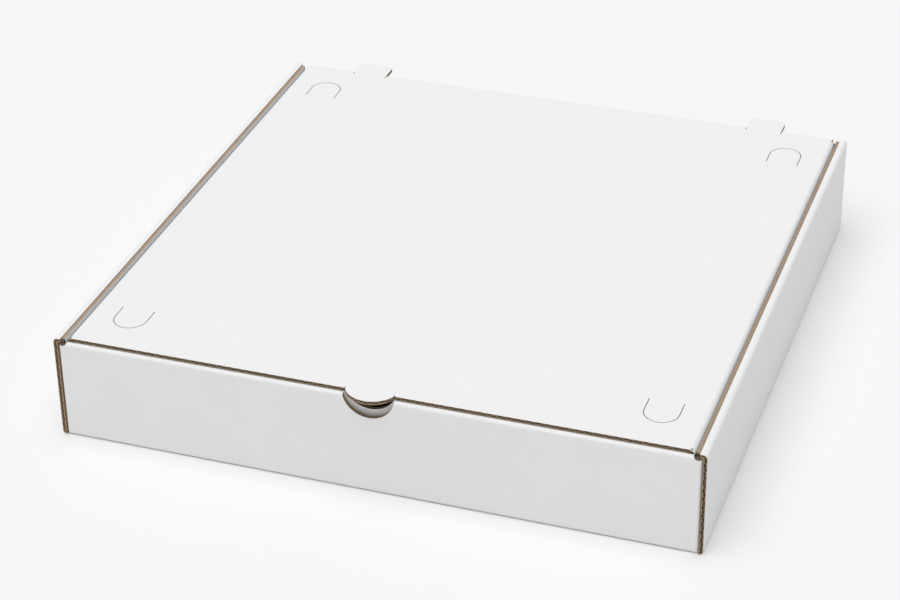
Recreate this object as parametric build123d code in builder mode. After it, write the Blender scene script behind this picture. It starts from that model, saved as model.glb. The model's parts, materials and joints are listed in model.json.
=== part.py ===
# A nine inch pizza box, die cut and folded from one sheet of thin corrugated board.
# The tray has rolled-over side walls that lock into the floor. The lid hinges on the
# rear wall, its three flaps tuck inside the walls, and four cut tabs press in as vents.
# Frame: +Z up, +X to the right, -Y to the front, origin under the middle of the floor.
from build123d import *
from math import sqrt
import os

os.makedirs("parts", exist_ok=True)

# Driving dimensions, in millimetres
width = 237.0  # outside, left to right
depth = 232.0  # outside, front to rear
height = 40.4  # floor underside to lid top
board = 1.4  # thickness of the corrugated board
fold_radius = 1.25  # outside of every rounded fold

panel_gap = 0.15  # between layers that only touch in the folded box
corner_gap = 0.35  # a side wall's outer skin to the folded corner beside it
flattened_flap = 0.7  # a corner flap squeezed between a side wall's two skins
corner_flap_length = 34.0
corner_flap_taper = 14.0
corner_flap_drop = 3.0  # top of a corner flap below the hinge crease
score_step = 0.3  # inner skin's cut top edge below the ledge beside it
lock_tab_width = 18.0
lock_tab_spacing = 116.0
lock_tab_recess = 0.2  # end of a lock tab above the floor's underside
relief_radius = 1.75  # round hole where a wall's top meets its corner fold
relief_inset = 3.15  # relief's centre from the box's outside
relief_drop = 0.9  # relief's centre below the lid's top

front_drop = 1.4  # top of the front wall below the lid's top
front_flat = 0.1  # level strip left along the top of the front wall, behind its round shoulder
notch_radius = 9.5

lid_side_gap = 0.8  # lid to the inner skin of each side wall
lid_front_gap = 0.35  # lid's front edge to the front wall
crease_gap = 0.1  # lid to the rear wall along the hinge crease
swing_gap = 0.35  # tuck flap's lower edge to the front wall as the lid swings
tongue_chord = 17.8
tongue_reach = 3.9  # in front of the front wall
tongue_root_relief = 0.6
side_flap_depth = 26.0
side_flap_slant = 28.0  # how far each end of a side flap slopes in
tuck_flap_depth = 25.0
tuck_flap_inset = 3.0  # lid's side edge to the end of the tuck flap
tuck_flap_slant = 9.0

rear_tab_width = 14.0
rear_tab_reach = 7.6  # behind the rear wall
rear_tab_inset = 33.7  # tab's middle from the box's outside
rear_tab_corner = 1.5

cut_gap = 0.3  # clearance around a cut tab
vent_width = 12.0
vent_length = 13.0
vent_inset_side = 20.8  # vent's middle from the box's left or right outside
vent_inset_end = 14.2  # vent's round tip from the box's front or rear outside

# Sizes that follow
half_width = width / 2
half_depth = depth / 2
side_slot = corner_gap + flattened_flap + panel_gap  # between a side wall's two skins
side_wall = 2 * board + side_slot
inner_skin_outer = half_width - board - side_slot
inner_skin_inner = half_width - side_wall
crease_z = height - board  # the lid's underside meets the rear wall's inner face
crease_y = half_depth - board
front_top = height - front_drop
front_round = board - front_flat  # the front wall's cut top, pressed round outside
folded_half = half_width - board - corner_gap  # middle to the corner folds
lid_half = inner_skin_inner - lid_side_gap
lid_front = -half_depth + board + lid_front_gap
lid_rear = crease_y - crease_gap
left_and_right = (-1, 1)
front_and_rear = (-1, 1)


def block(low, high, mode=Mode.ADD):
    # A block between its lowest and highest corners.
    with Locations(tuple((a + b) / 2 for a, b in zip(low, high))):
        Box(*(b - a for a, b in zip(low, high)), mode=mode)


def side_block(side, inside, outside, y_range, z_range, mode=Mode.ADD):
    # A block at one side, given by its distances from the middle plane.
    near, far = sorted((side * inside, side * outside))
    block((near, y_range[0], z_range[0]), (far, y_range[1], z_range[1]), mode)


with BuildPart() as tray:
    # Floor and side walls: one section, rolled over at both sides, along the whole depth
    with BuildSketch(Plane.XZ) as section:
        with Locations((0, height / 2)):
            Rectangle(width, height)
        fillet(section.vertices(), fold_radius)
        with Locations((0, board + height / 2)):
            Rectangle(2 * inner_skin_inner, height, mode=Mode.SUBTRACT)
        for side in left_and_right:
            slot_middle = (half_width - board + inner_skin_outer) / 2
            with Locations((side * slot_middle, height / 2)):
                Rectangle(side_slot, height - 2 * board, mode=Mode.SUBTRACT)
            skin_middle = (inner_skin_inner + inner_skin_outer) / 2
            with Locations((side * skin_middle, board + panel_gap / 2)):
                Rectangle(board, panel_gap, mode=Mode.SUBTRACT)
            with Locations((side * skin_middle, height - score_step / 2)):
                Rectangle(board, score_step, mode=Mode.SUBTRACT)
    extrude(amount=half_depth, both=True)

    # The inner skins stop short of the front and rear walls
    for side in left_and_right:
        for end in front_and_rear:
            ends = sorted((end * half_depth, end * (half_depth - board - panel_gap)))
            side_block(
                side, inner_skin_inner, inner_skin_outer, ends, (board, height), Mode.SUBTRACT
            )

    # Lock tabs of the inner skins, in their slots through the floor
    for side in left_and_right:
        for row in (-lock_tab_spacing / 2, lock_tab_spacing / 2):
            slot_reach = lock_tab_width / 2 + panel_gap
            side_block(
                side,
                inner_skin_inner - panel_gap,
                inner_skin_outer + panel_gap,
                (row - slot_reach, row + slot_reach),
                (0, board),
                Mode.SUBTRACT,
            )
            side_block(
                side,
                inner_skin_inner,
                inner_skin_outer,
                (row - lock_tab_width / 2, row + lock_tab_width / 2),
                (lock_tab_recess, 2 * board),
            )

    # Front and rear walls, with round corner folds and reliefs at their top corners
    for end, wall_top in zip(front_and_rear, (front_top, crease_z)):
        wall_middle = end * (half_depth - board / 2)
        with BuildSketch() as wall_plan:
            with Locations((0, wall_middle)):
                Rectangle(2 * folded_half, board)
            outer_corners = wall_plan.vertices().group_by(Axis.Y)[0 if end < 0 else -1]
            fillet(outer_corners, fold_radius)
        with BuildPart(mode=Mode.PRIVATE) as wall:
            add(wall_plan.sketch)
            extrude(amount=wall_top)
            with BuildSketch(Plane.XZ) as reliefs:
                with Locations(
                    *((s * (half_width - relief_inset), height - relief_drop) for s in left_and_right)
                ):
                    Circle(relief_radius)
            extrude(amount=half_depth, both=True, mode=Mode.SUBTRACT)
        add(wall.part)

    # Corner flaps, folded back between the skins of the side walls
    for side in left_and_right:
        flap_start = min(side * folded_half, side * (folded_half - flattened_flap))
        for end in front_and_rear:
            root = end * (half_depth - board / 2)
            tip = end * (half_depth - corner_flap_length)
            shoulder = tip + end * corner_flap_taper
            flap_bottom = board + panel_gap
            flap_top = crease_z - corner_flap_drop
            with BuildSketch(Plane.YZ.offset(flap_start)):
                with BuildLine():
                    Polyline(
                        (root, flap_bottom),
                        (tip, flap_bottom),
                        (tip, flap_top - corner_flap_taper),
                        (shoulder, flap_top),
                        (root, flap_top),
                        close=True,
                    )
                make_face()
            extrude(amount=flattened_flap)

    # Round folds along the bottom of the front and rear walls
    with BuildSketch(Plane.YZ):
        for end in front_and_rear:
            with Locations((end * (half_depth - fold_radius / 2), fold_radius / 2)):
                Rectangle(fold_radius, fold_radius)
            with Locations((end * (half_depth - fold_radius), fold_radius)):
                Circle(fold_radius, mode=Mode.SUBTRACT)
    extrude(amount=folded_half, both=True, mode=Mode.SUBTRACT)

    # The front wall's cut top is pressed round outside, and the rear wall's is mitred
    # at the crease so that the lid can lie flat behind the box
    with BuildSketch(Plane.YZ):
        with Locations((-half_depth + front_round / 2, front_top - front_round / 2)):
            Rectangle(front_round, front_round)
        with Locations((-half_depth + front_round, front_top - front_round)):
            Circle(front_round, mode=Mode.SUBTRACT)
        with BuildLine():
            Polyline(
                (half_depth, crease_z),
                (half_depth, crease_z - board),
                (half_depth - board, crease_z),
                close=True,
            )
        make_face()
    extrude(amount=folded_half, both=True, mode=Mode.SUBTRACT)

    # Thumb notch in the front wall, and the windows that the lid's rear tabs leave
    with BuildSketch(Plane.XZ.offset(half_depth)):
        with Locations((0, height)):
            Circle(notch_radius)
    extrude(amount=-board, mode=Mode.SUBTRACT)
    window_bottom = crease_z - board - rear_tab_reach - cut_gap
    for side in left_and_right:
        tab_middle = half_width - rear_tab_inset
        window_reach = rear_tab_width / 2 + cut_gap
        side_block(
            side,
            tab_middle - window_reach,
            tab_middle + window_reach,
            (crease_y, half_depth),
            (window_bottom, crease_z),
            Mode.SUBTRACT,
        )


def vent_shape(side, end, grow=0.0):
    # Outline of a vent tab: a round tip towards the box's end, a straight hinge edge.
    middle = side * (half_width - vent_inset_side)
    tip = end * (half_depth - vent_inset_end)
    hinge = tip - end * vent_length
    round_middle = tip - end * vent_width / 2
    with BuildSketch(Plane.XY.offset(crease_z)) as shape:
        with Locations((middle, round_middle)):
            Circle(vent_width / 2 + grow)
        with Locations((middle, (round_middle + hinge) / 2)):
            Rectangle(vent_width + 2 * grow, abs(round_middle - hinge))
    return shape.sketch


with BuildPart() as lid:
    # Tuck flap: it leans in just enough to clear the front wall as the lid swings
    swing_reach = crease_y - lid_front - (swing_gap - lid_front_gap)
    tuck_bottom = crease_z - tuck_flap_depth
    tuck_bottom_y = crease_y - sqrt(swing_reach**2 - tuck_flap_depth**2)
    tuck_half = lid_half - tuck_flap_inset
    with BuildSketch(Plane.YZ):
        with BuildLine():
            Polyline(
                (lid_front, crease_z + board / 2),
                (lid_front, crease_z),
                (tuck_bottom_y, tuck_bottom),
                (tuck_bottom_y + board, tuck_bottom),
                (lid_front + board, crease_z),
                (lid_front + board, crease_z + board / 2),
                close=True,
            )
        make_face()
    extrude(amount=tuck_half, both=True)

    # The tuck flap's slanted ends, and the hole that the tongue was cut from
    tongue_length = half_depth + tongue_reach + lid_front
    tongue_radius = ((tongue_chord / 2) ** 2 + tongue_length**2) / (2 * tongue_length)
    with BuildSketch(Plane.XZ):
        for side in left_and_right:
            with BuildLine():
                Polyline(
                    (side * tuck_half, crease_z),
                    (side * tuck_half, tuck_bottom),
                    (side * (tuck_half - tuck_flap_slant), tuck_bottom),
                    close=True,
                )
            make_face()
        with Locations((0, crease_z + tongue_radius - tongue_length)):
            Circle(tongue_radius)
        with Locations((0, crease_z + tongue_radius)):
            Rectangle(2 * tongue_radius, 2 * tongue_radius, mode=Mode.SUBTRACT)
    extrude(amount=half_depth, both=True, mode=Mode.SUBTRACT)

    # Lid panel: the front edge is slit down to the fold and square, the side folds are
    # round, and the rear edge has a mitre at the crease
    with BuildPart(mode=Mode.PRIVATE) as panel:
        with BuildSketch(Plane.YZ):
            with BuildLine():
                Polyline(
                    (lid_front, crease_z),
                    (lid_front, height),
                    (lid_rear - board, height),
                    (lid_rear, crease_z),
                    close=True,
                )
            make_face()
        extrude(amount=lid_half, both=True)
        folds = panel.faces().sort_by(Axis.Z)[-1].edges().filter_by(Axis.Y)
        fillet(folds, fold_radius)
    add(panel.part)

    # Side flaps, tucked down inside the side walls
    for side in left_and_right:
        with BuildSketch(Plane.YZ.offset(min(side * lid_half, side * (lid_half - board)))):
            with BuildLine():
                Polyline(
                    (lid_front + board, crease_z),
                    (lid_front + board + side_flap_slant, crease_z - side_flap_depth),
                    (lid_rear - board - side_flap_slant, crease_z - side_flap_depth),
                    (lid_rear - board, crease_z),
                    close=True,
                )
            make_face()
        extrude(amount=board)

    # Tongue, level with the lid, and the tabs behind the crease
    with BuildSketch(Plane.XY.offset(crease_z)):
        with Locations((0, lid_front - tongue_length + tongue_radius)):
            Circle(tongue_radius)
        with Locations((0, lid_front + 2 * board - tongue_radius)):
            Rectangle(tongue_chord, 2 * tongue_radius, mode=Mode.INTERSECT)
    extrude(amount=board)
    with BuildSketch(Plane.XY.offset(crease_z)) as tabs:
        tab_start = lid_rear - 2 * board
        tab_end = half_depth + rear_tab_reach
        for side in left_and_right:
            with Locations((side * (half_width - rear_tab_inset), (tab_start + tab_end) / 2)):
                Rectangle(rear_tab_width, tab_end - tab_start)
        fillet(tabs.vertices().group_by(Axis.Y)[-1], rear_tab_corner)
    extrude(amount=board)

    # Small reliefs at the tongue's roots, and the four vent cuts
    with BuildSketch(Plane.XY.offset(crease_z)):
        for side in left_and_right:
            with Locations((side * (tongue_chord / 2 + tongue_root_relief), lid_front + board / 2)):
                Circle(tongue_root_relief)
    extrude(amount=board, mode=Mode.SUBTRACT)
    for side in left_and_right:
        for end in front_and_rear:
            add(vent_shape(side, end, cut_gap))
            extrude(amount=board, mode=Mode.SUBTRACT)


def make_vent(side, end):
    # One vent tab, filling its cut in the lid.
    with BuildPart() as vent:
        add(vent_shape(side, end))
        extrude(amount=board)
    return vent.part


tray.part.label = "tray"
lid.part.label = "lid"
export_step(tray.part, "parts/tray.step")
export_step(lid.part, "parts/lid.step")
for end, end_name in zip(front_and_rear, ("front", "rear")):
    for side, side_name in zip(left_and_right, ("left", "right")):
        vent_part = make_vent(side, end)
        vent_part.label = f"vent_{end_name}_{side_name}"
        export_step(vent_part, f"parts/{vent_part.label}.step")
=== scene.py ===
import json
from math import asin, ceil, cos, degrees, pi, radians, sin, sqrt

import bmesh
import bpy
from mathutils import Matrix, Vector, noise


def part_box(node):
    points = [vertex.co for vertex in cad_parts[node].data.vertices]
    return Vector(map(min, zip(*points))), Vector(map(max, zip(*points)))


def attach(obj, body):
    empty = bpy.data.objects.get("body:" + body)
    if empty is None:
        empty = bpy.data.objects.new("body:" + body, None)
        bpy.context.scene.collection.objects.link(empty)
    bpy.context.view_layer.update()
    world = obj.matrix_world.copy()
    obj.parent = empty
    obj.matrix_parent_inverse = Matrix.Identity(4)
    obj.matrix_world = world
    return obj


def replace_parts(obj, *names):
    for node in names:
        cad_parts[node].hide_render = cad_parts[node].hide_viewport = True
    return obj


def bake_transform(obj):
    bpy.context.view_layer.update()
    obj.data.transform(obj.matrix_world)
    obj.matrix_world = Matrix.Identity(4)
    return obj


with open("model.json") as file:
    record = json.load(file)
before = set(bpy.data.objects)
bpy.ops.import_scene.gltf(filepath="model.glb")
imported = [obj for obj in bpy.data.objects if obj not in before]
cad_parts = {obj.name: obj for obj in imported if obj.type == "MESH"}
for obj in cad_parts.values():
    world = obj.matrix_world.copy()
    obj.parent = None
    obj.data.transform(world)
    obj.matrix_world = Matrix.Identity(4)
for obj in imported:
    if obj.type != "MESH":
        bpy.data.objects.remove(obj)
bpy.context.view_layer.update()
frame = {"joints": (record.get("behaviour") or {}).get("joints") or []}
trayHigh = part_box("tray")[1]
lidLow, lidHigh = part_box("lid")
jointOf = {joint["name"]: joint for joint in frame["joints"]}
hinge = Vector(jointOf["lid_hinge"]["pos_m"])  # the crease between the rear wall and the lid
mm = 0.001
print("frame loaded")

board = {
    "thick": 1.4 * mm,
    "liner": 0.21 * mm,
    "medium": 0.15 * mm,
    "flutePitch": 3.39 * mm,
    "fluteSteps": 12,  # straight pieces in one flute
    "slack": 0.01 * mm,  # between the medium's crests and the liners
    "arcSteps": 10,
}
halfWidth = trayHigh.x
halfDepth = trayHigh.y
topZ = trayHigh.z
creaseZ = topZ - board["thick"]  # underside of the lid


def newSocket(group, name, direction, kind, value=None):
    socket = group.interface.new_socket(name, in_out=direction, socket_type=kind)
    if value is not None:
        socket.default_value = value
    return socket


def addNode(tree, kind, **settings):
    node = tree.nodes.new(kind)
    for name, value in settings.items():
        setattr(node, name, value)
    return node


def mathNode(tree, operation, first, second):
    node = addNode(tree, "ShaderNodeMath", operation=operation)
    for index, value in enumerate((first, second)):
        if isinstance(value, bpy.types.NodeSocket):
            tree.links.new(value, node.inputs[index])
        else:
            node.inputs[index].default_value = value
    return node.outputs[0]


def noiseNode(tree, vector, scale, detail, roughness=0.5):
    node = addNode(tree, "ShaderNodeTexNoise")
    node.inputs["Scale"].default_value = scale
    node.inputs["Detail"].default_value = detail
    node.inputs["Roughness"].default_value = roughness
    tree.links.new(vector, node.inputs["Vector"])
    return node.outputs[0]


def makeFibreGroup():
    # Paper fibres: fine grain, slow cloudiness and sparse dark specks, all about 0 to 1
    group = bpy.data.node_groups.new("paperFibre", "ShaderNodeTree")
    newSocket(group, "Vector", "INPUT", "NodeSocketVector")
    newSocket(group, "Scale", "INPUT", "NodeSocketFloat", 1.0)
    for name in ("Grain", "Cloud", "Speck"):
        newSocket(group, name, "OUTPUT", "NodeSocketFloat")
    entry = addNode(group, "NodeGroupInput")
    leave = addNode(group, "NodeGroupOutput")
    scaled = addNode(group, "ShaderNodeVectorMath", operation="SCALE")
    group.links.new(entry.outputs["Vector"], scaled.inputs[0])
    group.links.new(entry.outputs["Scale"], scaled.inputs["Scale"])
    stretched = addNode(group, "ShaderNodeMapping")
    stretched.inputs["Scale"].default_value = (1.0, 0.35, 1.0)
    group.links.new(scaled.outputs[0], stretched.inputs["Vector"])
    grain = noiseNode(group, stretched.outputs[0], 2600.0, 3.0, 0.65)
    cloud = noiseNode(group, scaled.outputs[0], 55.0, 2.0)
    speck = noiseNode(group, stretched.outputs[0], 900.0, 2.0, 0.7)
    edge = addNode(group, "ShaderNodeMapRange")
    edge.inputs["From Min"].default_value = 0.62
    edge.inputs["From Max"].default_value = 0.72
    group.links.new(speck, edge.inputs["Value"])
    group.links.new(grain, leave.inputs["Grain"])
    group.links.new(cloud, leave.inputs["Cloud"])
    group.links.new(edge.outputs[0], leave.inputs["Speck"])
    return group


def makeWashboardGroup():
    # The flutes pressing faintly through the liner: across X, or up Z where a face looks sideways
    group = bpy.data.node_groups.new("washboard", "ShaderNodeTree")
    newSocket(group, "Vector", "INPUT", "NodeSocketVector")
    newSocket(group, "Facing", "INPUT", "NodeSocketVector")
    newSocket(group, "Height", "OUTPUT", "NodeSocketFloat")
    entry = addNode(group, "NodeGroupInput")
    leave = addNode(group, "NodeGroupOutput")
    place = addNode(group, "ShaderNodeSeparateXYZ")
    facing = addNode(group, "ShaderNodeSeparateXYZ")
    group.links.new(entry.outputs["Vector"], place.inputs[0])
    group.links.new(entry.outputs["Facing"], facing.inputs[0])
    sideways = mathNode(group, "GREATER_THAN", mathNode(group, "ABSOLUTE", facing.outputs["X"], 0.0), 0.7)
    along = addNode(group, "ShaderNodeMix", data_type="FLOAT")
    group.links.new(sideways, along.inputs["Factor"])
    group.links.new(place.outputs["X"], along.inputs["A"])
    group.links.new(place.outputs["Z"], along.inputs["B"])
    turns = mathNode(group, "MULTIPLY", along.outputs["Result"], 2 * pi / board["flutePitch"])
    wave = mathNode(group, "SINE", turns, 0.0)
    group.links.new(mathNode(group, "MULTIPLY_ADD", wave, 0.5), leave.inputs["Height"])
    return group


fibreGroup = makeFibreGroup()
washboardGroup = makeWashboardGroup()


def placeGroup(tree, group, coordinates, outlet="Object"):
    node = addNode(tree, "ShaderNodeGroup", node_tree=group)
    tree.links.new(coordinates.outputs[outlet], node.inputs["Vector"])
    return node


def mixColours(tree, mask, first, second):
    node = addNode(tree, "ShaderNodeMix", data_type="RGBA")
    tree.links.new(mask, node.inputs["Factor"])
    for socket, colour in ((node.inputs[6], first), (node.inputs[7], second)):
        if isinstance(colour, bpy.types.NodeSocket):
            tree.links.new(colour, socket)
        else:
            socket.default_value = (*colour, 1.0)
    return node.outputs[2]


def makePaper(name, look):
    # One paper: two tones that drift with the cloudiness, fibre grain, specks and a bump
    material = bpy.data.materials.new(name)
    material.use_nodes = True
    tree = material.node_tree
    shader = tree.nodes["Principled BSDF"]
    shader.inputs["IOR"].default_value = 1.45
    shader.inputs["Specular IOR Level"].default_value = look["gloss"]
    coordinates = addNode(tree, "ShaderNodeTexCoord")
    fibre = placeGroup(tree, fibreGroup, coordinates)
    fibre.inputs["Scale"].default_value = look["fibreScale"]
    drift = mixColours(tree, fibre.outputs["Cloud"], look["dark"], look["pale"])
    grainShare = mathNode(tree, "MULTIPLY", fibre.outputs["Grain"], look["grainShare"])
    grained = mixColours(tree, grainShare, drift, look["grain"])
    speckShare = mathNode(tree, "MULTIPLY", fibre.outputs["Speck"], look["speckShare"])
    tree.links.new(mixColours(tree, speckShare, grained, look["speck"]), shader.inputs["Base Color"])
    rough = addNode(tree, "ShaderNodeMapRange")
    rough.inputs["To Min"].default_value = look["rough"] - 0.06
    rough.inputs["To Max"].default_value = look["rough"] + 0.06
    tree.links.new(fibre.outputs["Grain"], rough.inputs["Value"])
    tree.links.new(rough.outputs[0], shader.inputs["Roughness"])
    grainBump = addNode(tree, "ShaderNodeBump")
    grainBump.inputs["Strength"].default_value = look["bump"]
    grainBump.inputs["Distance"].default_value = look["grainHeight"]
    tree.links.new(fibre.outputs["Grain"], grainBump.inputs["Height"])
    if look["washboard"] > 0:
        washboard = placeGroup(tree, washboardGroup, coordinates)
        tree.links.new(coordinates.outputs["Normal"], washboard.inputs["Facing"])
        waveBump = addNode(tree, "ShaderNodeBump")
        waveBump.inputs["Strength"].default_value = 1.0
        waveBump.inputs["Distance"].default_value = look["washboard"]
        tree.links.new(washboard.outputs["Height"], waveBump.inputs["Height"])
        tree.links.new(waveBump.outputs["Normal"], grainBump.inputs["Normal"])
    tree.links.new(grainBump.outputs["Normal"], shader.inputs["Normal"])
    return material


whiteLook = {
    "pale": (0.83, 0.83, 0.835),
    "dark": (0.80, 0.80, 0.805),
    "grain": (0.76, 0.76, 0.76),
    "speck": (0.66, 0.65, 0.63),
    "grainShare": 0.25,
    "speckShare": 0.12,
    "fibreScale": 1.0,
    "rough": 0.62,
    "gloss": 0.3,
    "bump": 0.25,
    "grainHeight": 0.02 * mm,
    "washboard": 0.006 * mm,
}
kraftLook = {
    "pale": (0.46, 0.335, 0.22),
    "dark": (0.39, 0.275, 0.175),
    "grain": (0.30, 0.20, 0.12),
    "speck": (0.16, 0.10, 0.06),
    "grainShare": 0.6,
    "speckShare": 0.55,
    "fibreScale": 0.8,
    "rough": 0.85,
    "gloss": 0.15,
    "bump": 0.5,
    "grainHeight": 0.04 * mm,
    "washboard": 0.012 * mm,
}
mediumLook = {
    **kraftLook,
    "pale": (0.40, 0.28, 0.18),
    "dark": (0.33, 0.22, 0.13),
    "washboard": 0.0,
}
rawLook = {
    **kraftLook,
    "pale": (0.50, 0.395, 0.30),
    "dark": (0.40, 0.31, 0.23),
    "grain": (0.29, 0.21, 0.145),
    "speck": (0.13, 0.08, 0.05),
    "fibreScale": 1.6,
    "bump": 0.8,
    "washboard": 0.0,
}
papers = [
    makePaper("whiteLiner", whiteLook),
    makePaper("kraftLiner", kraftLook),
    makePaper("fluteMedium", mediumLook),
    makePaper("rawEdge", rawLook),
]
white, kraft, medium, raw = range(4)
print("materials made")


def newObject(name, bm):
    mesh = bpy.data.meshes.new(name)
    bm.to_mesh(mesh)
    bm.free()
    thing = bpy.data.objects.new(name, mesh)
    bpy.context.scene.collection.objects.link(thing)
    for paper in papers:
        mesh.materials.append(paper)
    return thing


def applyModifiers(thing):
    bpy.context.view_layer.update()
    evaluated = thing.evaluated_get(bpy.context.evaluated_depsgraph_get())
    mesh = bpy.data.meshes.new_from_object(evaluated)
    old = thing.data
    thing.modifiers.clear()
    thing.data = mesh
    bpy.data.meshes.remove(old)


def arc(centre, radius, start, end, steps):
    # Points on a round stretch, angles in degrees
    points = []
    for i in range(steps + 1):
        angle = radians(start + (end - start) * i / steps)
        points.append(Vector((centre[0] + radius * cos(angle), centre[1] + radius * sin(angle))))
    return points


def foldedLine(corners, radius):
    # A line through the corners, each bend rounded
    corners = [Vector(c) for c in corners]
    points = [corners[0]]
    for before, corner, after in zip(corners, corners[1:], corners[2:]):
        arrive = (corner - before).normalized()
        depart = (after - corner).normalized()
        turn = arrive.angle(depart)
        reach = radius * sin(turn / 2) / cos(turn / 2)
        towards = (depart - arrive).normalized()
        centre = corner + towards * (radius / cos(turn / 2))
        first = (corner - arrive * reach) - centre
        last = (corner + depart * reach) - centre
        for i in range(board["arcSteps"] + 1):
            share = i / board["arcSteps"]
            points.append(centre + first.slerp(last, share).normalized() * radius)
    points.append(corners[-1])
    return points


def offsetLine(points, distance):
    # The line moved to its left by distance
    moved = []
    for i, point in enumerate(points):
        before = points[max(i - 1, 0)]
        after = points[min(i + 1, len(points) - 1)]
        if i in (0, len(points) - 1):
            along = (after - before).normalized()
            moved.append(point + Vector((-along.y, along.x)) * distance)
            continue
        first = (point - before).normalized()
        second = (after - point).normalized()
        mean = (first + second).normalized()
        left = Vector((-mean.y, mean.x))
        moved.append(point + left * (distance / max(first.dot(mean), 0.5)))
    return moved


def wavyLine(points, phase=0.0):
    # The medium's line: it swings between the liners of a board whose outside is the line given
    middle = board["thick"] / 2
    swing = middle - board["liner"] - board["medium"] / 2 - board["slack"]
    step = board["flutePitch"] / board["fluteSteps"]
    wavy = []
    travelled = 0.0
    for start, end in zip(points, points[1:]):
        length = (end - start).length
        if length < 1e-9:
            continue
        along = (end - start) / length
        left = Vector((-along.y, along.x))
        count = max(1, ceil(length / step))
        for i in range(count):
            distance = length * i / count
            height = middle + swing * sin(2 * pi * (travelled + distance) / board["flutePitch"] + phase)
            wavy.append(start + along * distance + left * height)
        travelled += length
    return wavy


def sheet(name, line, plane, start, end, front, thickness, offset, back, rim):
    # A sheet of paper: a line in a plane, drawn out across it, and given its thickness
    bm = bmesh.new()
    previous = None
    for point in line:
        vertex = bm.verts.new(plane(point, start))
        if previous is not None:
            bm.edges.new((previous, vertex))
        previous = vertex
    drawn = bmesh.ops.extrude_edge_only(bm, edges=bm.edges[:])
    moved = [item for item in drawn["geom"] if isinstance(item, bmesh.types.BMVert)]
    origin = Vector((0.0, 0.0))
    bmesh.ops.translate(bm, verts=moved, vec=plane(origin, end) - plane(origin, start))
    bmesh.ops.recalc_face_normals(bm, faces=bm.faces[:])
    bm.faces.ensure_lookup_table()
    bm.normal_update()
    first = (line[1] - line[0]).normalized()
    right = Vector((first.y, -first.x))
    outward = plane(right, start) - plane(origin, start)
    lineStart = plane(line[0], (start + end) / 2)
    sample = min(bm.faces, key=lambda f: (f.calc_center_median() - lineStart).length)
    if sample.normal.dot(outward) < 0:
        bmesh.ops.reverse_faces(bm, faces=bm.faces[:])
    for face in bm.faces:
        face.material_index = front
    thing = newObject(name, bm)
    solid = thing.modifiers.new("thickness", "SOLIDIFY")
    solid.thickness = thickness
    solid.offset = offset
    solid.use_even_offset = True
    solid.material_offset = back - front
    solid.material_offset_rim = rim - front
    applyModifiers(thing)
    return thing


def acrossY(point, depth):
    return Vector((point.x, depth, point.y))


def acrossX(point, depth):
    return Vector((depth, point.x, point.y))


def acrossZ(point, depth):
    return Vector((point.x, point.y, depth))


def joinPieces(name, pieces):
    bm = bmesh.new()
    for piece in pieces:
        bm.from_mesh(piece.data)
        mesh = piece.data
        bpy.data.objects.remove(piece)
        bpy.data.meshes.remove(mesh)
    return newObject(name, bm)


def makeBoard(name, line, plane, start, end):
    # The two liners and the medium of a board, from its outside line
    inner = offsetLine(line, board["thick"])
    layers = [
        sheet(name, line, plane, start, end, white, board["liner"], -1, kraft, raw),
        sheet(name, inner[::-1], plane, start, end, kraft, board["liner"], -1, kraft, raw),
    ]
    wavy = wavyLine(line)
    layers.append(sheet(name, wavy, plane, start, end, medium, board["medium"], 0, medium, raw))
    return layers


def prism(outline, plane, start, end):
    # A closed block with the outline given, for cutting boards
    bm = bmesh.new()
    face = bm.faces.new([bm.verts.new(plane(point, start)) for point in outline])
    drawn = bmesh.ops.extrude_face_region(bm, geom=[face])
    moved = [item for item in drawn["geom"] if isinstance(item, bmesh.types.BMVert)]
    origin = Vector((0.0, 0.0))
    bmesh.ops.translate(bm, verts=moved, vec=plane(origin, end) - plane(origin, start))
    bmesh.ops.recalc_face_normals(bm, faces=bm.faces[:])
    for side in bm.faces:
        side.material_index = raw
    return newObject("cutter", bm)


def rectangle(low, high):
    return [Vector(p) for p in ((low[0], low[1]), (high[0], low[1]), (high[0], high[1]), (low[0], high[1]))]


def cut(things, operation, cutters):
    # Intersect each thing with the cutters, or take them away, then remove the cutters
    for cutter in cutters:
        for thing in things:
            trim = thing.modifiers.new("cut", "BOOLEAN")
            trim.operation = operation
            trim.solver = "EXACT"
            trim.use_self = operation == "INTERSECT"
            trim.object = cutter
            applyModifiers(thing)
        mesh = cutter.data
        bpy.data.objects.remove(cutter)
        bpy.data.meshes.remove(mesh)


def finishPiece(name, layers, body):
    # Join a board's layers, tidy the mesh and hang it on its body
    thing = joinPieces(name, layers)
    mesh = thing.data
    bm = bmesh.new()
    bm.from_mesh(mesh)
    bmesh.ops.remove_doubles(bm, verts=bm.verts[:], dist=0.0005 * mm)
    bmesh.ops.dissolve_degenerate(bm, edges=bm.edges[:], dist=0.0002 * mm)
    bm.to_mesh(mesh)
    bm.free()
    for polygon in mesh.polygons:
        polygon.use_smooth = True
    mesh.set_sharp_from_angle(angle=radians(32))
    if body:
        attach(thing, body)
    print(thing.name, len(mesh.polygons), "faces")
    return thing


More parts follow.
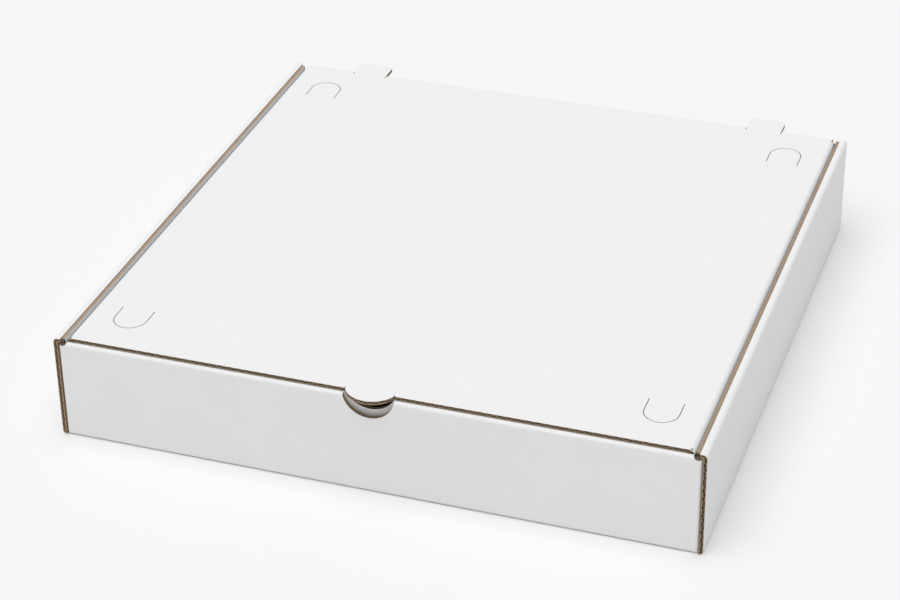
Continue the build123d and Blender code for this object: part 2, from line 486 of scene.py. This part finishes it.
tray = {
    "foldRadius": 1.45 * mm,
    "sideWall": 4.0 * mm,  # both skins and the slot between them
    "scoreStep": 0.3 * mm,  # inner skin's cut top below the ledge
    "cornerGap": 0.35 * mm,  # side wall's outer skin to the folded corner
    "layerGap": 0.15 * mm,
    "wallInset": 0.3 * mm,  # front and rear walls' inner layers, from the corner folds
    "linerGap": 0.01 * mm,  # front wall's inner liner to the lid
    "swingGap": 0.03 * mm,  # rear wall's inner liner to the open lid's
    "mediumDrop": 0.1 * mm,  # a wall's flutes below its round shoulder
    "shoulder": 1.3 * mm,  # round top of the front wall
    "reliefRadius": 1.75 * mm,
    "reliefInset": 3.15 * mm,
    "reliefDrop": 0.9 * mm,
    "notchRadius": 9.5 * mm,
    "tabWidth": 18.0 * mm,
    "tabSpacing": 116.0 * mm,
    "tabRecess": 0.2 * mm,
    "flapLength": 34.0 * mm,
    "flapThick": 0.7 * mm,
    "flapTaper": 14.0 * mm,
    "flapDrop": 3.0 * mm,
    "crushHeight": 0.5 * mm,
    "crushRough": 0.22 * mm,
}
thick = board["thick"]
skinIn = halfWidth - tray["sideWall"]
skinOut = skinIn + thick
foldedHalf = halfWidth - thick - tray["cornerGap"]


def makeFloorAndSides():
    # One section from ledge to ledge, drawn out from front to rear
    corners = [
        (-skinOut, topZ), (-halfWidth, topZ), (-halfWidth, 0.0),
        (halfWidth, 0.0), (halfWidth, topZ), (skinOut, topZ),
    ]
    line = foldedLine(corners, tray["foldRadius"])
    layers = makeBoard("floorAndSides", line, acrossY, -halfDepth, halfDepth)
    openings = []
    for end in (-1, 1):
        near, far = sorted((end * (halfDepth - thick), end * (halfDepth + thick)))
        openings.append(rectangle((-foldedHalf, near), (foldedHalf, far)))
    for side in (-1, 1):
        left, right = sorted((side * skinIn, side * skinOut))
        for row in (-1, 1):
            middle = row * tray["tabSpacing"] / 2
            reach = tray["tabWidth"] / 2 + tray["layerGap"]
            openings.append(rectangle(
                (left - tray["layerGap"], middle - reach), (right + tray["layerGap"], middle + reach)
            ))
    cut(layers, "DIFFERENCE", [prism(o, acrossZ, -thick, 2 * thick) for o in openings])
    return finishPiece("floorAndSides", layers, "tray")


def makeInnerSkin(side):
    # White towards the inside of the box, with tabs that reach into the floor's slots
    top = topZ - tray["scoreStep"]
    bottom = thick + tray["layerGap"]
    end = halfDepth - thick - tray["layerGap"]
    line = [Vector((side * skinIn, z)) for z in (tray["tabRecess"], top)]
    if side > 0:
        line.reverse()
    name = "innerSkin" + ("Left" if side < 0 else "Right")
    layers = makeBoard(name, line, acrossY, -end, end)
    outline = [(end, bottom), (end, top + mm), (-end, top + mm), (-end, bottom)]
    for row in (-1, 1):
        middle = row * tray["tabSpacing"] / 2
        half = tray["tabWidth"] / 2
        outline += [(middle - half, bottom), (middle - half, -mm)]
        outline += [(middle + half, -mm), (middle + half, bottom)]
    block = prism([Vector(p) for p in outline], acrossX, side * (skinIn - mm), side * (skinOut + mm))
    cut(layers, "INTERSECT", [block])
    return finishPiece(name, layers, "tray")


def makeCrushedEdge(side):
    # The torn top of an inner skin: the flutes are pressed flat between its liners
    low = Vector((skinIn + board["liner"] / 2, 0, topZ - tray["scoreStep"] - tray["crushHeight"]))
    high = Vector((skinOut - board["liner"] / 2, 0, topZ - tray["scoreStep"] + 0.02 * mm))
    end = halfDepth - thick - tray["layerGap"] - 0.02 * mm
    bm = bmesh.new()
    bmesh.ops.create_grid(bm, x_segments=4, y_segments=420, size=1.0)
    for vertex in bm.verts:
        across = (vertex.co.x + 1) / 2
        x = low.x + (high.x - low.x) * across
        y = vertex.co.y * end
        rough = noise.noise(Vector((x * 1700, y * 1100, side * 7.0)))
        rough += 0.7 * noise.noise(Vector((x * 3000, y * 3500, side * 3.0)))
        sunk = abs(2 * across - 1) < 0.9
        vertex.co = Vector((side * x, y, high.z + (rough - 0.6) * tray["crushRough"] * sunk))
    bmesh.ops.recalc_face_normals(bm, faces=bm.faces[:])
    bm.faces.ensure_lookup_table()
    if bm.faces[0].normal.z < 0:
        bmesh.ops.reverse_faces(bm, faces=bm.faces[:])
    edges = [edge for edge in bm.edges if edge.is_boundary]
    drawn = bmesh.ops.extrude_edge_only(bm, edges=edges)
    for vertex in drawn["geom"]:
        if isinstance(vertex, bmesh.types.BMVert):
            vertex.co.z = low.z
    bmesh.ops.holes_fill(bm, edges=[edge for edge in bm.edges if edge.is_boundary])
    bmesh.ops.recalc_face_normals(bm, faces=bm.faces[:])
    for face in bm.faces:
        face.material_index = raw
    name = "tornEdge" + ("Left" if side < 0 else "Right")
    return finishPiece(name, [newObject(name, bm)], "tray")


def roundedSkin(name, end, top, roundTop):
    # Outer liner of the front or rear wall, turned round its corner folds and the floor's fold
    deep = 4 * mm
    near, far = sorted((end * halfDepth, end * (halfDepth - deep)))
    bm = bmesh.new()
    bmesh.ops.create_cube(bm, size=1.0)
    for vertex in bm.verts:
        vertex.co.x *= 2 * foldedHalf
        vertex.co.y = far if vertex.co.y > 0 else near
        vertex.co.z = top if vertex.co.z > 0 else 0.0
    outside = [v for v in bm.verts if abs(v.co.y - end * halfDepth) < 1e-7]
    rim = [e for e in bm.edges if all(v in outside for v in e.verts)]
    if not roundTop:
        rim = [e for e in rim if not all(abs(v.co.z - top) < 1e-7 for v in e.verts)]
    bmesh.ops.bevel(
        bm, geom=rim, offset=tray["shoulder"], offset_type="OFFSET", segments=8, profile=0.5,
        affect="EDGES", clamp_overlap=True, material=-1,
    )
    if not roundTop:
        topFaces = [f for f in bm.faces if f.normal.z > 0.9 and f.calc_center_median().z > top - 1e-6]
        bmesh.ops.delete(bm, geom=topFaces, context="FACES")
    bmesh.ops.bisect_plane(
        bm, geom=bm.verts[:] + bm.edges[:] + bm.faces[:], dist=1e-7,
        plane_co=(0, end * (halfDepth - thick), 0), plane_no=(0, -end, 0), clear_outer=True,
    )
    piece = newObject(name, bm)
    solid = piece.modifiers.new("thickness", "SOLIDIFY")
    solid.thickness = board["liner"]
    solid.offset = -1
    solid.use_even_offset = True
    solid.material_offset = kraft
    solid.material_offset_rim = raw
    applyModifiers(piece)
    return piece


def makeWall(end):
    # Front or rear wall: liners and a medium whose flutes stand upright
    name = "frontWall" if end < 0 else "rearWall"
    mediumTop = creaseZ - tray["shoulder"] - tray["mediumDrop"]
    innerTop = creaseZ - (tray["linerGap"] if end < 0 else board["liner"] + tray["swingGap"])
    outside = roundedSkin(name, end, creaseZ if end < 0 else creaseZ - thick, end < 0)
    x = foldedHalf - tray["wallInset"]
    ends = [Vector((-x, end * halfDepth)), Vector((x, end * halfDepth))]
    if end > 0:
        ends.reverse()
    inside = offsetLine(ends, thick)
    layers = [
        outside,
        sheet(name, inside[::-1], acrossZ, thick, innerTop, kraft, board["liner"], -1, kraft, raw),
        sheet(name, wavyLine(ends), acrossZ, thick / 2, mediumTop, medium, board["medium"], 0, medium, raw),
    ]
    cutters = []
    for side in (-1, 1):
        centre = (side * (halfWidth - tray["reliefInset"]), topZ - tray["reliefDrop"])
        cutters.append(arc(centre, tray["reliefRadius"], 0, 360, 40)[:-1])
    if end < 0:
        cutters.append(arc((0, topZ), tray["notchRadius"], 0, 360, 96)[:-1])
    else:
        windowBottom = creaseZ - thick - rearTab["reach"] - rearTab["gap"]
        for side in (-1, 1):
            middle = side * (halfWidth - rearTab["inset"])
            half = rearTab["width"] / 2 + rearTab["gap"]
            cutters.append(rectangle((middle - half, windowBottom), (middle + half, topZ)))
    near, far = sorted((end * (halfDepth - 3 * thick), end * (halfDepth + thick)))
    cut(layers, "DIFFERENCE", [prism(c, acrossY, near, far) for c in cutters])
    return finishPiece(name, layers, "tray")


def makeCornerFlap(side, end):
    # Folded back between a side wall's skins and squeezed thin
    start, bottom = end * (halfDepth - thick), thick + tray["layerGap"]
    top = creaseZ - tray["flapDrop"]
    tip = end * (halfDepth - tray["flapLength"])
    shoulder = tip + end * tray["flapTaper"]
    outline = [(start, bottom), (tip, bottom), (tip, top - tray["flapTaper"]), (shoulder, top), (start, top)]
    inner = side * (foldedHalf - tray["flapThick"])
    piece = prism([Vector(p) for p in outline], acrossX, inner, side * foldedHalf)
    for face in piece.data.polygons:
        facing = face.normal.x * side
        face.material_index = white if facing > 0.9 else kraft if facing < -0.9 else raw
    name = "cornerFlap" + ("Front" if end < 0 else "Rear") + ("Left" if side < 0 else "Right")
    return finishPiece(name, [piece], "tray")


rearTab = {
    "width": 14.0 * mm,
    "reach": 7.6 * mm,  # behind the rear wall
    "inset": 33.7 * mm,
    "corner": 1.5 * mm,
    "gap": 0.3 * mm,
}
floorAndSides = makeFloorAndSides()
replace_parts(floorAndSides, "tray")
for side in (-1, 1):
    makeInnerSkin(side)
    makeCrushedEdge(side)
    for end in (-1, 1):
        makeCornerFlap(side, end)
makeWall(-1)
makeWall(1)
print("tray made")


lid = {
    "sideGap": 0.8 * mm,
    "frontGap": 0.35 * mm,
    "creaseGap": 0.1 * mm,
    "foldEnd": 0.2 * mm,  # flat stretch between a side fold and its flap
    "foldRadius": 1.9 * mm,
    "flapDepth": 26.0 * mm,
    "flapSlant": 28.0 * mm,
    "tuckDepth": 25.0 * mm,
    "tuckInset": 3.0 * mm,
    "tuckSlant": 9.0 * mm,
    "tongueChord": 17.8 * mm,
    "rootSlit": 0.35 * mm,  # overcut at each root of the tongue
    "rootReach": 0.8 * mm,
    "cornerNick": 0.4 * mm,
    "cornerNickInset": 1.1 * mm,
    "cornerNickDepth": 0.8 * mm,
}
lidHalf = skinIn - lid["sideGap"]
lidFront = -halfDepth + thick + lid["frontGap"]
lidRear = hinge.y - lid["creaseGap"]
lidFoldLow = topZ - lid["foldRadius"] - lid["foldEnd"]  # where the side folds end and the flaps begin
tongueLength = lidFront - lidLow.y
tongueRadius = ((lid["tongueChord"] / 2) ** 2 + tongueLength**2) / (2 * tongueLength)
tongueSpread = degrees(asin(lid["tongueChord"] / 2 / tongueRadius))


def lidOutline(rear):
    # Plan of the lid with its tongue and rear tabs; the sides run past the folds
    wide = lidHalf + mm
    points = [Vector((-wide, lidFront))]
    points += arc((0, lidLow.y + tongueRadius), tongueRadius, 270 - tongueSpread, 270 + tongueSpread, 40)
    points += [Vector((wide, lidFront)), Vector((wide, rear))]
    for side in (1, -1):
        middle = side * (halfWidth - rearTab["inset"])
        half, corner = rearTab["width"] / 2, rearTab["corner"]
        tip = halfDepth + rearTab["reach"]
        points.append(Vector((middle + half, rear)))
        points += arc((middle + half - corner, tip - corner), corner, 0, 90, 8)
        points += arc((middle - half + corner, tip - corner), corner, 90, 180, 8)
        points.append(Vector((middle - half, rear)))
    points.append(Vector((-wide, rear)))
    return points


def ventOutline(side, end, grow=0.0):
    # A vent tab: a round tip towards the box's end and a straight hinge edge
    radius = vent["width"] / 2 + grow
    middle = side * (halfWidth - vent["insetSide"])
    tip = end * (halfDepth - vent["insetEnd"])
    hingeY = tip - end * vent["length"]
    roundY = tip - end * vent["width"] / 2
    points = arc((middle, roundY), radius, 0 if end > 0 else 180, 180 if end > 0 else 360, 32)
    return points + [Vector((points[-1].x, hingeY)), Vector((points[0].x, hingeY))]


vent = {
    "width": 12.0 * mm,
    "length": 13.0 * mm,
    "insetSide": 20.8 * mm,
    "insetEnd": 14.2 * mm,
    "gap": 0.28 * mm,
}


def makeLidPanel():
    low = lidFoldLow
    corners = [(lidHalf, low), (lidHalf, topZ), (-lidHalf, topZ), (-lidHalf, low)]
    line = foldedLine(corners, lid["foldRadius"])
    start, end = lidLow.y - mm, lidHigh.y + mm
    layers = makeBoard("lidPanel", line, acrossY, start, end)
    for layer, rear in zip(layers, (hinge.y - thick, lidRear, hinge.y - thick)):
        cut([layer], "INTERSECT", [prism(lidOutline(rear), acrossZ, low - mm, topZ + mm)])
    cutters = [ventOutline(side, end, vent["gap"]) for side in (-1, 1) for end in (-1, 1)]
    for side in (-1, 1):
        root = side * (lid["tongueChord"] / 2 + lid["rootSlit"] / 4)
        half = lid["rootSlit"] / 2
        cutters.append(rectangle((root - half, lidFront - mm), (root + half, lidFront + lid["rootReach"])))
        nick = (side * (lidHalf - lid["cornerNickInset"]), lidFront + lid["cornerNickDepth"])
        cutters.append(arc(nick, lid["cornerNick"], 0, 360, 12)[:-1])
    cut(layers, "DIFFERENCE", [prism(c, acrossZ, creaseZ - mm, topZ + mm) for c in cutters])
    return finishPiece("lidPanel", layers, "lid")


def makeSideFlap(side):
    # Tucked down beside the inner skin, with slanted ends that show the flutes
    top = lidFoldLow
    bottom = creaseZ - lid["flapDepth"]
    line = [Vector((side * lidHalf, z)) for z in (bottom, top)]
    if side < 0:
        line.reverse()
    name = "sideFlap" + ("Left" if side < 0 else "Right")
    layers = makeBoard(name, line, acrossY, lidFront, hinge.y)
    front, rear = lidFront + thick, lidRear - thick
    outline = [
        (front, creaseZ), (front + lid["flapSlant"], bottom - mm),
        (rear - lid["flapSlant"], bottom - mm), (rear, creaseZ),
    ]
    near, far = side * (lidHalf - 2 * thick), side * (lidHalf + thick)
    cut(layers, "INTERSECT", [prism([Vector(p) for p in outline], acrossX, near, far)])
    return finishPiece(name, layers, "lid")


def makeTuckFlap():
    # Hangs from the lid's front edge behind the front wall, leaning in to swing clear of it
    bottom = creaseZ - lid["tuckDepth"]
    swing = hinge.y - lidFront
    lean = hinge.y - sqrt(swing**2 - lid["tuckDepth"] ** 2) - lidFront
    half = lidHalf - lid["tuckInset"]

    def leaning(point, z):
        share = (creaseZ - z) / lid["tuckDepth"]
        return Vector((point.x, point.y + lean * share, z))

    ends = [Vector((-half, lidFront)), Vector((half, lidFront))]
    inside = offsetLine(ends, thick)
    layers = [
        sheet("tuckFlap", ends, leaning, creaseZ, bottom, white, board["liner"], -1, kraft, raw),
        sheet("tuckFlap", inside[::-1], leaning, creaseZ, bottom, kraft, board["liner"], -1, kraft, raw),
        sheet("tuckFlap", wavyLine(ends), leaning, creaseZ, bottom, medium, board["medium"], 0, medium, raw),
    ]
    top = creaseZ + 0.1 * mm
    outline = [Vector((half - lid["tuckSlant"], bottom - mm)), Vector((half + mm, top))]
    holeCentre = (0, creaseZ + tongueRadius - tongueLength)
    hole = arc(holeCentre, tongueRadius, 270 - tongueSpread, 270 + tongueSpread, 40)
    outline += hole[::-1]
    outline += [Vector((-half - mm, top)), Vector((-half + lid["tuckSlant"], bottom - mm))]
    cut(layers, "INTERSECT", [prism(outline, acrossY, lidFront - thick, lidFront + 4 * thick)])
    return finishPiece("tuckFlap", layers, "lid")


def makeVent(side, end):
    # One vent tab, filling its cut in the lid
    endName, sideName = ("Front" if end < 0 else "Rear"), ("Left" if side < 0 else "Right")
    name = "vent" + endName + sideName
    outline = ventOutline(side, end)
    left, right = min(p.x for p in outline) - mm, max(p.x for p in outline) + mm
    near, far = min(p.y for p in outline) - mm, max(p.y for p in outline) + mm
    layers = makeBoard(name, [Vector((right, topZ)), Vector((left, topZ))], acrossY, near, far)
    cut(layers, "INTERSECT", [prism(outline, acrossZ, creaseZ - mm, topZ + mm)])
    node = f"vent_{endName.lower()}_{sideName.lower()}"
    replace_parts(finishPiece(name, layers, node), node)


lidPanel = makeLidPanel()
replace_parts(lidPanel, "lid")
makeTuckFlap()
for side in (-1, 1):
    makeSideFlap(side)
    for end in (-1, 1):
        makeVent(side, end)
print("lid made")


crease = {
    "sideInset": 0.9 * mm,  # from the lid's sides
}


def makeCrease(name, left, right):
    # The outer liner bending over the crease, from the rear wall to the lid
    corners = [(halfDepth, creaseZ - thick), (halfDepth, topZ), (hinge.y - thick, topZ)]
    line = foldedLine(corners, thick)
    liner = sheet(name, line, acrossX, left, right, white, board["liner"], -1, kraft, raw)
    piece = finishPiece(name, [liner], None)
    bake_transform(piece)
    return piece


tabMiddle = halfWidth - rearTab["inset"]
tabOut, tabIn = tabMiddle + rearTab["width"] / 2, tabMiddle - rearTab["width"] / 2
outerEnd = lidHalf - crease["sideInset"]
makeCrease("creaseLeft", -outerEnd, -tabOut - rearTab["gap"])
makeCrease("creaseMiddle", -tabIn + rearTab["gap"], tabIn - rearTab["gap"])
makeCrease("creaseRight", tabOut + rearTab["gap"], outerEnd)
print("crease made")


studio = {
    "floorSize": 3.0,
    "floorDrop": 0.0001,
    "floorColour": (0.845, 0.845, 0.845),
    "worldStrength": 0.52,
    "sunStrength": 1.85,
    "sunAngle": 60.0,
    "sunTilt": (12.0, -4.0),  # degrees towards the front and the left
}


def makeStudio():
    bm = bmesh.new()
    bmesh.ops.create_grid(bm, x_segments=1, y_segments=1, size=studio["floorSize"])
    mesh = bpy.data.meshes.new("floor")
    bm.to_mesh(mesh)
    bm.free()
    floor = bpy.data.objects.new("floor", mesh)
    floor.location.z = -studio["floorDrop"]
    bpy.context.scene.collection.objects.link(floor)
    material = bpy.data.materials.new("paleFloor")
    material.use_nodes = True
    shader = material.node_tree.nodes["Principled BSDF"]
    shader.inputs["Base Color"].default_value = (*studio["floorColour"], 1.0)
    shader.inputs["Roughness"].default_value = 1.0
    shader.inputs["Specular IOR Level"].default_value = 0.0
    mesh.materials.append(material)
    world = bpy.data.worlds.new("studioWorld")
    world.use_nodes = True
    world.node_tree.nodes["Background"].inputs["Strength"].default_value = studio["worldStrength"]
    world.node_tree.nodes["Background"].inputs["Color"].default_value = (1.0, 1.0, 1.0, 1.0)
    bpy.context.scene.world = world
    light = bpy.data.lights.new("softSun", "SUN")
    light.energy = studio["sunStrength"]
    light.angle = radians(studio["sunAngle"])
    sun = bpy.data.objects.new("softSun", light)
    sun.rotation_euler = (radians(studio["sunTilt"][0]), radians(studio["sunTilt"][1]), 0)
    bpy.context.scene.collection.objects.link(sun)


view = {
    "azimuth": 19.29,
    "elevation": 31.32,
    "roll": -0.83,
    "distance": 0.9724,
    "lens": 100.8,
    "right": 10.8 * mm,  # how far the aim stands from the middle of the floor
    "up": -8.0 * mm,
    "aimY": 2.5 * mm,
}


def makeCamera():
    azimuth, elevation, roll = (radians(view[key]) for key in ("azimuth", "elevation", "roll"))
    back = Vector((sin(azimuth) * cos(elevation), -cos(azimuth) * cos(elevation), sin(elevation)))
    level = back.cross(Vector((0, 0, 1))).normalized() * -1
    rise = back.cross(level)
    right = level * cos(roll) + rise * sin(roll)
    up = rise * cos(roll) - level * sin(roll)
    aim = Vector((0, view["aimY"], 0))
    place = aim - right * view["right"] - up * view["up"] + back * view["distance"]
    data = bpy.data.cameras.new("camera")
    data.lens = view["lens"]
    data.sensor_width = 36.0
    camera = bpy.data.objects.new("camera", data)
    camera.matrix_world = Matrix((
        (right.x, up.x, back.x, place.x),
        (right.y, up.y, back.y, place.y),
        (right.z, up.z, back.z, place.z),
        (0, 0, 0, 1),
    ))
    bpy.context.scene.collection.objects.link(camera)
    bpy.context.scene.camera = camera


makeStudio()
makeCamera()
bpy.context.scene.view_settings.view_transform = "Standard"
print("studio made")
